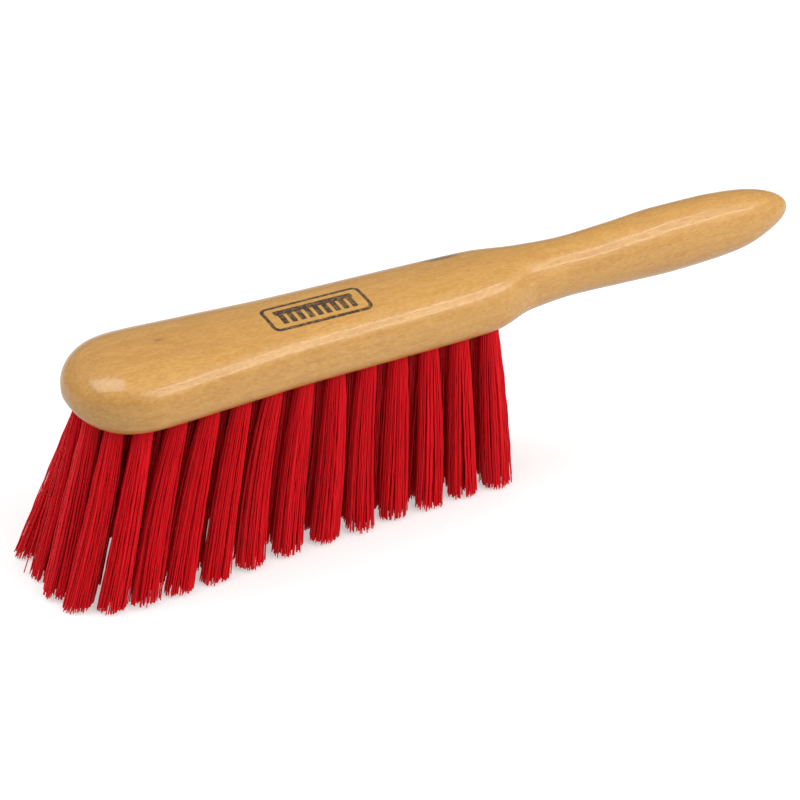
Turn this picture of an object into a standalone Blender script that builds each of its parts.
"""Neck duster brush: a wooden stock with a slim handle, drilled on its flattened
underside with four rows of blind holes.  A tuft of bristles stands in every hole,
and one hole in each row also shows the short flat wire anchor behind its tuft.

Units are metres, +Z is up.  The brush stands on its bristle tips: the origin is
the centre of its length on the tip plane, the nose of the head points along -X
and the handle along +X.  The parts are laid out in the stock's own frame, with
x = 0 at the nose and z = 0 on the underside of the head.
"""
import math
from collections import namedtuple

import bmesh
import bpy
from mathutils import Matrix, Vector

MM = 0.001

# --------------------------------------------------------------------- stock
LENGTH = 285.0 * MM            # nose to end of handle
HEAD_THICKNESS = 23.0 * MM     # underside to top

# Outlines: (x from the nose, value), in millimetres.
HALF_WIDTHS = (
    (0, 24.3), (22, 24.3), (50, 22.4), (80, 20.0), (110, 19.3), (135, 18.7), (155, 17.4),
    (172, 12.3), (190, 11.0), (210, 11.1), (230, 11.4), (248, 11.1), (264, 10.4), (285, 9.8))
# crest above the top of the head
CREST_RISE = (
    (0, 0), (140, 0), (165, 0.2), (190, -0.3), (210, 0.8), (230, 2.3), (248, 2.4),
    (264, 1.6), (285, 1.3))
# keel above the underside of the head
KEEL_RISE = (
    (0, 0), (150, 0), (168, 1.8), (190, 2.0), (210, 1.3), (230, 0.7), (248, 1.2),
    (264, 2.7), (278, 5.0), (285, 5.4))

# lengths over which the ends round over, seen from above (plan) and from the side
NOSE_ROUND_PLAN = 26.2 * MM
NOSE_ROUND_SIDE = 18.5 * MM
TAIL_ROUND_PLAN = 25.2 * MM
TAIL_ROUND_SIDE = 27.0 * MM

# superellipse exponents of the cross section: the higher, the squarer
SECTION_HEAD_TOP = 2.6
SECTION_HEAD_KEEL = 3.2
SECTION_GRIP = 2.15
SHOULDER_START = 150.0 * MM    # where the head's section starts to become the grip's
SHOULDER_RUN = 40.0 * MM

SECTION_POINTS = 36
BODY_STEPS = 56                # even steps along the stock
END_STEPS = 8                  # extra sections where each end rounds over
MIN_GAP = 1.2 * MM             # closest spacing of sections
NOSE_ZONE = 4.0 * MM           # stretch at the nose that allows a closer spacing
NOSE_MIN_GAP = 0.4 * MM

# -------------------------------------------------------------------- layout
# Rows 1 to 4 lie side by side from -Y to +Y; tufts are numbered from the nose.
ROWS = (1, 2, 3, 4)
OUTER_ROWS = (1, 4)
NEGATIVE_Y_ROWS = (1, 2)
TUFTS_PER_ROW = 13
BRISTLE_HEIGHT = 58.5 * MM     # underside of the head to the tip plane

# mouth of each row's first tuft: x and distance from the centre line
OUTER_NOSE = (11.2 * MM, 12.4 * MM)
INNER_NOSE = (6.5 * MM, 4.7 * MM)
# x of the other tufts
OUTER_START = 20.0 * MM        # second tuft of an outer row
OUTER_PITCH = 12.0 * MM
INNER_START = 15.5 * MM        # second tuft of an inner row
INNER_END = 149.0 * MM         # last tuft of an inner row

EDGE_INSET = 7.4 * MM          # outer row to the edge of the head
OUTER_MIN = 12.0 * MM          # least distance of an outer row from the centre line
INNER_SHARE = 0.38             # an inner row's distance, as a share of the outer row's
INNER_MIN = 5.0 * MM

# (x of the mouth, how far the tip lies forward of it), in millimetres
LEAN = ((15, 17.0), (20, 18.8), (36, 19.8), (60, 17.0), (100, 9.0), (140, 2.2), (152, 0.0))
# (x of the mouth, how far the tip lies outboard of it), in millimetres
SPLAY_OUTER = ((20, 8.2), (33, 9.8), (47, 10.5), (152, 6.5))
SPLAY_INNER = (
    (15.5, 2.4), (27.5, 7.1), (39, 7.2), (52, 7.2), (64, 6.5), (76, 5.6), (88, 5.0),
    (100, 4.6), (125, 3.5), (152, 1.6))
# (x, y) in millimetres of the first tip of rows 1 to 4: a slightly uneven fan
NOSE_TIPS = ((-8.5, -18.0), (-12.4, -8.8), (-12.4, 4.5), (-12.0, 20.0))

# --------------------------------------------------------------------- tufts
TUFT_SIDES = 12                # a multiple of four
TIP_RADIUS_ALONG = 5.6 * MM    # at the cut end, along the row
TIP_RADIUS_OUTER = 4.9 * MM    # the same, across an outer row
# the same, across an inner row: (x of the mouth, radius), in millimetres
TIP_RADIUS_INNER = (
    (6, 6.1), (27.5, 6.3), (40, 7.2), (52, 7.1), (64, 6.8), (76, 6.5), (88, 6.2),
    (100, 6.0), (152, 5.9))
# scale of the tips that differ: (in an outer row, number) -> factor
TIP_SCALE = {(True, 1): 0.85, (True, 2): 0.90, (True, 13): 1.05,
             (False, 1): 0.85, (False, 2): 0.85}
MOUTH_RADIUS = 2.95 * MM       # at the mouth of the hole
ROOT_RADIUS = 1.90 * MM        # at the root, inside the hole
ROOT_HEIGHT = 6.5 * MM         # root above the underside
HINGE_HEIGHT = 1.5 * MM        # bending line of a row, just inside its holes

# --------------------------------------------------------- holes and anchors
HOLE_RADIUS = 3.6 * MM
HOLE_DEPTH = 10.2 * MM         # along the hole
HOLE_SIDES = 16
DRILL_OVERRUN = 7.0 * MM       # length of cutter outside the mouth

ANCHOR_LENGTH = 6.0 * MM       # across the row
ANCHOR_THICKNESS = 0.5 * MM    # along the row
ANCHOR_DEPTH = 1.4 * MM        # along the hole
ANCHOR_HEIGHT = 8.8 * MM       # centre of the anchor above the underside
ANCHOR_TUFT = 7                # number of the tuft that has an anchor

Z_AXIS = Vector((0, 0, 1))


# -------------------------------------------------------------------- curves
def smooth_curve(table, x):
    """Monotone cubic through a table in millimetres; x and the result are in metres."""
    xs = [station * MM for station, _ in table]
    values = [value * MM for _, value in table]
    spans = len(xs) - 1
    steps = [xs[i + 1] - xs[i] for i in range(spans)]
    slopes = [(values[i + 1] - values[i]) / steps[i] for i in range(spans)]

    # Inner tangents are weighted harmonic means of the slopes; the others are flat.
    tangents = [0.0] * len(xs)
    for i in range(1, spans):
        before, after = slopes[i - 1], slopes[i]
        if before * after > 0:
            weight_before = 2 * steps[i] + steps[i - 1]
            weight_after = steps[i] + 2 * steps[i - 1]
            tangents[i] = ((weight_before + weight_after)
                           / (weight_before / before + weight_after / after))

    x = min(max(x, xs[0]), xs[-1])
    i = max(k for k in range(spans) if xs[k] <= x)
    step = steps[i]
    t = (x - xs[i]) / step
    return ((1 + 2 * t) * (1 - t) ** 2 * values[i]
            + t * (1 - t) ** 2 * step * tangents[i]
            + t * t * (3 - 2 * t) * values[i + 1]
            + t * t * (t - 1) * step * tangents[i + 1])


def closing(distance, run):
    """1 along the body, falling to 0 at the end as a quarter ellipse."""
    remaining = 1.0 - min(max(distance / run, 0.0), 1.0)
    return math.sqrt(max(1.0 - remaining * remaining, 0.0))


def smoothstep(t):
    t = min(max(t, 0.0), 1.0)
    return t * t * (3 - 2 * t)


def signed_power(value, exponent):
    return math.copysign(abs(value) ** exponent, value)


def half_width(x):
    return (smooth_curve(HALF_WIDTHS, x)
            * closing(x, NOSE_ROUND_PLAN) * closing(LENGTH - x, TAIL_ROUND_PLAN))


def middle_and_half_height(x):
    """Height of the stock's middle at x, and half its thickness there."""
    crest = HEAD_THICKNESS + smooth_curve(CREST_RISE, x)
    keel = smooth_curve(KEEL_RISE, x)
    half = (crest - keel) / 2
    half *= closing(x, NOSE_ROUND_SIDE) * closing(LENGTH - x, TAIL_ROUND_SIDE)
    return (crest + keel) / 2, half


# -------------------------------------------------------------- tuft layout
Tuft = namedtuple("Tuft", "row number outer mouth tip")


def outer_line(x):
    """Distance of the outer rows from the centre line."""
    return max(half_width(x) - EDGE_INSET, OUTER_MIN)


def mouth_place(outer, number):
    """x of a tuft's mouth, and its distance from the centre line."""
    if number == 1:
        return OUTER_NOSE if outer else INNER_NOSE
    if outer:
        x = OUTER_START + OUTER_PITCH * (number - 2)
        return x, outer_line(x)
    x = INNER_START + (INNER_END - INNER_START) * (number - 2) / (TUFTS_PER_ROW - 2)
    return x, max(outer_line(x) * INNER_SHARE, INNER_MIN)


def place_tuft(row, number):
    outer = row in OUTER_ROWS
    side = -1 if row in NEGATIVE_Y_ROWS else 1
    x, y = mouth_place(outer, number)
    if number == 1:
        tip_x, tip_y = (value * MM for value in NOSE_TIPS[row - 1])
    else:
        tip_x = x - smooth_curve(LEAN, x)
        tip_y = side * (y + smooth_curve(SPLAY_OUTER if outer else SPLAY_INNER, x))
    return Tuft(row, number, outer,
                Vector((x, side * y, 0.0)), Vector((tip_x, tip_y, -BRISTLE_HEIGHT)))


def tip_radii(tuft):
    """Half axes of a tuft's cut end, along and across its row."""
    scale = TIP_SCALE.get((tuft.outer, tuft.number), 1.0)
    across = TIP_RADIUS_OUTER if tuft.outer else smooth_curve(TIP_RADIUS_INNER, tuft.mouth.x)
    return TIP_RADIUS_ALONG * scale, across * scale


def on_line(tuft, height):
    """Point of a tuft's centre line at a height above the underside."""
    return tuft.mouth + (tuft.mouth - tuft.tip) * (height / BRISTLE_HEIGHT)


def inward(tuft):
    """Direction of a tuft from its tip into the stock."""
    return (tuft.mouth - tuft.tip).normalized()


TUFTS = [place_tuft(row, number) for row in ROWS for number in range(1, TUFTS_PER_ROW + 1)]

# x of the foremost tip, measured to the flats of its many-sided outline
FRONT = min(tuft.tip.x - tip_radii(tuft)[0] * math.cos(math.pi / TUFT_SIDES)
            for tuft in TUFTS)
# where the stock's own frame stands in the scene
STOCK_ORIGIN = Vector((-(FRONT + LENGTH) / 2, 0.0, BRISTLE_HEIGHT))


# ------------------------------------------------------------------ builders
def new_object(name, data, parent=None, location=(0, 0, 0), material=None, collection=None):
    """An object in the collection (the parts' by default); without data, an empty."""
    obj = bpy.data.objects.new(name, data)
    (collection or parts).objects.link(obj)
    obj.parent = parent
    obj.location = location
    if material:
        data.materials.append(material)
    return obj


def new_empty(name, size, location, parent=None):
    empty = new_object(name, None, parent, location)
    empty.empty_display_size = size
    return empty


def new_material(name, colour, roughness, metallic=0.0):
    material = bpy.data.materials.new(name)
    material.use_nodes = True
    inputs = material.node_tree.nodes["Principled BSDF"].inputs
    inputs["Base Color"].default_value = (*colour, 1.0)
    inputs["Roughness"].default_value = roughness
    inputs["Metallic"].default_value = metallic
    material.diffuse_color = (*colour, 1.0)
    return material


def wood_material():
    return new_material("beech_lacquered", colour=(0.62, 0.36, 0.14), roughness=0.32)


def bristle_material(tuft):
    return new_material(f"bristle_{tuft.row}_{tuft.number:02d}",
                        colour=(0.55, 0.02, 0.03), roughness=0.45)


def wire_material(row):
    return new_material(f"anchor_wire.{row:03d}",
                        colour=(0.60, 0.60, 0.60), roughness=0.35, metallic=1.0)


def finish_mesh(shape, name):
    """Turn a bmesh into a smooth-shaded mesh with sharp creases."""
    bmesh.ops.recalc_face_normals(shape, faces=shape.faces)
    mesh = bpy.data.meshes.new(name)
    shape.to_mesh(mesh)
    shape.free()
    mesh.shade_smooth()
    mesh.set_sharp_from_angle(angle=math.radians(35))
    return mesh


def bridge(shape, loops):
    """Quads between each ring of vertices and the next."""
    for ring, following in zip(loops, loops[1:]):
        for k in range(len(ring)):
            j = (k + 1) % len(ring)
            shape.faces.new((ring[k], ring[j], following[j], following[k]))


# --------------------------------------------------------------- stock mesh
def section(x):
    """The stock's cross section at x: a superellipse, flatter below on the head."""
    middle, half = middle_and_half_height(x)
    wide = half_width(x)
    grip = smoothstep((x - SHOULDER_START) / SHOULDER_RUN)
    points = []
    for k in range(SECTION_POINTS):
        angle = 2 * math.pi * (k + 0.5) / SECTION_POINTS
        cosine, sine = math.cos(angle), math.sin(angle)
        head = SECTION_HEAD_TOP if sine > 0 else SECTION_HEAD_KEEL
        exponent = head * (1 - grip) + SECTION_GRIP * grip
        points.append(Vector((x, wide * signed_power(cosine, 2 / exponent),
                              middle + half * signed_power(sine, 2 / exponent))))
    return points


def section_stations():
    """x of every cross section, closer together at the two ends."""
    stations = [LENGTH * i / BODY_STEPS for i in range(1, BODY_STEPS)]
    for i in range(1, END_STEPS + 1):
        share = 1 - math.cos(math.pi / 2 * i / END_STEPS)
        stations += [NOSE_ROUND_PLAN * share, LENGTH - TAIL_ROUND_PLAN * share]
    stations.sort()
    kept = stations[:1]
    for x in stations[1:]:
        gap = x - kept[-1]
        if gap > MIN_GAP or (x < NOSE_ZONE and gap > NOSE_MIN_GAP):
            kept.append(x)
    return kept


def stock_mesh():
    """A loft of cross sections, closed by a pole at each end."""
    shape = bmesh.new()
    rings = [[shape.verts.new(point) for point in section(x)] for x in section_stations()]
    bridge(shape, rings)
    for ring, x in ((rings[0], 0.0), (rings[-1], LENGTH)):
        pole = shape.verts.new((x, 0.0, middle_and_half_height(x)[0]))
        for k in range(SECTION_POINTS):
            shape.faces.new((ring[k], ring[(k + 1) % SECTION_POINTS], pole))
    return finish_mesh(shape, "stock")


# -------------------------------------------------------------- other meshes
def tuft_mesh(name, tuft, pivot):
    """A closed stack of three horizontal ovals, at tip, mouth and root."""
    shape = bmesh.new()
    loops = []
    for centre, along, across in (
            (tuft.tip, *tip_radii(tuft)),
            (tuft.mouth, MOUTH_RADIUS, MOUTH_RADIUS),
            (on_line(tuft, ROOT_HEIGHT), ROOT_RADIUS, ROOT_RADIUS)):
        oval = bmesh.ops.create_circle(
            shape, cap_ends=False, segments=TUFT_SIDES, radius=1.0,
            matrix=Matrix.Translation(centre - pivot)
            @ Matrix.Diagonal((along, across, 1.0, 1.0))
            @ Matrix.Rotation(math.pi / TUFT_SIDES, 4, "Z"))
        loops.append(oval["verts"])
    bridge(shape, loops)
    shape.faces.new(loops[0][::-1])
    shape.faces.new(loops[-1])
    return finish_mesh(shape, name)


def drill_mesh():
    """Every hole in one cutter: separate cylinders, each along its tuft."""
    shape = bmesh.new()
    for tuft in TUFTS:
        axis = inward(tuft)
        centre = tuft.mouth + axis * (HOLE_DEPTH - DRILL_OVERRUN) / 2
        turn = Z_AXIS.rotation_difference(axis).to_matrix().to_4x4()
        bmesh.ops.create_cone(
            shape, cap_ends=True, segments=HOLE_SIDES, radius1=HOLE_RADIUS,
            radius2=HOLE_RADIUS, depth=HOLE_DEPTH + DRILL_OVERRUN,
            matrix=Matrix.Translation(centre) @ turn)
    return finish_mesh(shape, "drill")


def anchor_mesh(name):
    shape = bmesh.new()
    bmesh.ops.create_cube(shape, size=1.0, matrix=Matrix.Diagonal(
        (ANCHOR_THICKNESS, ANCHOR_LENGTH, ANCHOR_DEPTH, 1.0)))
    return finish_mesh(shape, name)


# -------------------------------------------------------------------- pieces
def build_stock():
    stock = new_object("stock", stock_mesh(), frame, material=wood_material())
    drill = new_object("drill", drill_mesh(), frame, collection=cutters)
    drill.hide_render = True
    drill.display_type = "WIRE"
    cut = stock.modifiers.new("drilled_holes", "BOOLEAN")
    cut.operation = "DIFFERENCE"
    cut.solver = "EXACT"
    cut.object = drill


def build_anchor(tuft):
    name = f"anchor_row_{tuft.row}"
    anchor = new_object(name, anchor_mesh(name), frame, on_line(tuft, ANCHOR_HEIGHT),
                        wire_material(tuft.row))
    anchor.rotation_mode = "QUATERNION"
    anchor.rotation_quaternion = Z_AXIS.rotation_difference(inward(tuft))


def build_row(row):
    """A row's tufts on their common hinge, and its anchor."""
    tufts = [tuft for tuft in TUFTS if tuft.row == row]
    mean_y = sum(tuft.mouth.y for tuft in tufts) / len(tufts)
    pivot = Vector((0.0, mean_y, HINGE_HEIGHT))
    hinge = new_empty(f"row_{row}_hinge", 0.01, pivot, frame)
    for tuft in tufts:
        name = f"tuft_{row}_{tuft.number:02d}"
        new_object(name, tuft_mesh(name, tuft, pivot), hinge,
                   material=bristle_material(tuft))
        if tuft.number == ANCHOR_TUFT:
            build_anchor(tuft)


# --------------------------------------------------------------------- build
for old in list(bpy.data.objects):
    bpy.data.objects.remove(old, do_unlink=True)

parts = bpy.data.collections.new("neck_duster_brush")
cutters = bpy.data.collections.new("cutters")
for group in (parts, cutters):
    bpy.context.scene.collection.children.link(group)

frame = new_empty("stock_frame", 0.02, STOCK_ORIGIN)
build_stock()
for row in ROWS:
    build_row(row)
bpy.context.view_layer.update()
